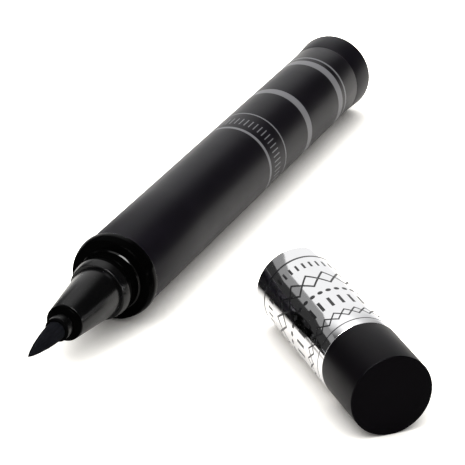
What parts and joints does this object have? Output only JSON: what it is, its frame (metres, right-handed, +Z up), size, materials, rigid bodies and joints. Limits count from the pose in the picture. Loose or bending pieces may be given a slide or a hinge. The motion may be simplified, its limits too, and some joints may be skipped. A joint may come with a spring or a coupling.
{
  "type": "liquid eyeliner pen",
  "caption": "Liquid eyeliner pen lying open: black round barrel, stepped neck, tapered nozzle and pointed fibre nib, with its bright-sleeved cap taken off and laid beside it.",
  "frame": {"origin": "middle of the footprint of the pen and its cap, on the surface that both lie on", "axes": "+Y from the nib to the tail along the pen's axis, +Z up, +X to the side where the cap lies"},
  "size_m": [0.054, 0.1008, 0.0119],
  "materials": {
    "barrel_black": "satin black coating",
    "collar_black": "high gloss black",
    "nozzle_black": "satin black moulding",
    "holder_black": "gloss black",
    "nib_fibre": "pressed fibre soaked black",
    "cap_black": "satin black",
    "sleeve_silver": "mirror bright, printed",
    "natural_plastic": "translucent white moulding",
    "tank_plastic": "translucent moulding, stained by the liquid",
    "feed_fibre": "pressed fibre, wetted",
    "foam": "open foam",
    "seal_rubber": "smooth",
    "spring_steel": "drawn wire",
    "ball_steel": "polished"
  },
  "bodies": {
    "pen": {"barrel": "barrel_black", "tail_plug": "barrel_black", "ink_tank": "tank_plastic", "collector": "natural_plastic", "feed_core": "feed_fibre", "seal_ring": "seal_rubber", "front_section": "collar_black", "sponge_sleeve": "foam", "nozzle": "nozzle_black", "nozzle_tip": "collar_black", "nib_holder": "holder_black", "fibre_nib": "nib_fibre"},
    "ball": {"mixing_ball": "ball_steel"},
    "cap": {"cap_sleeve": "sleeve_silver", "cap_end": "cap_black", "cap_liner": "natural_plastic", "inner_cap_spring": "spring_steel"},
    "inner_cap": {"inner_cap": "natural_plastic"}
  },
  "joints": [
    {"name": "cap_pull", "type": "slide", "parent": "pen", "child": "cap", "axis": [0.7059, -0.7083, 0], "range_m": [0, 0.02285]},
    {"name": "inner_cap_push", "type": "slide", "parent": "cap", "child": "inner_cap", "axis": [0.7059, -0.7083, 0], "range_m": [0, 0.002], "stiffness_N_per_m": 250, "springref_m": -0.002, "deforming": ["inner_cap_spring"]},
    {"name": "ball_roll", "type": "slide", "parent": "pen", "child": "ball", "axis": [0, 1, 0], "range_m": [0, 0.0339]}
  ]
}
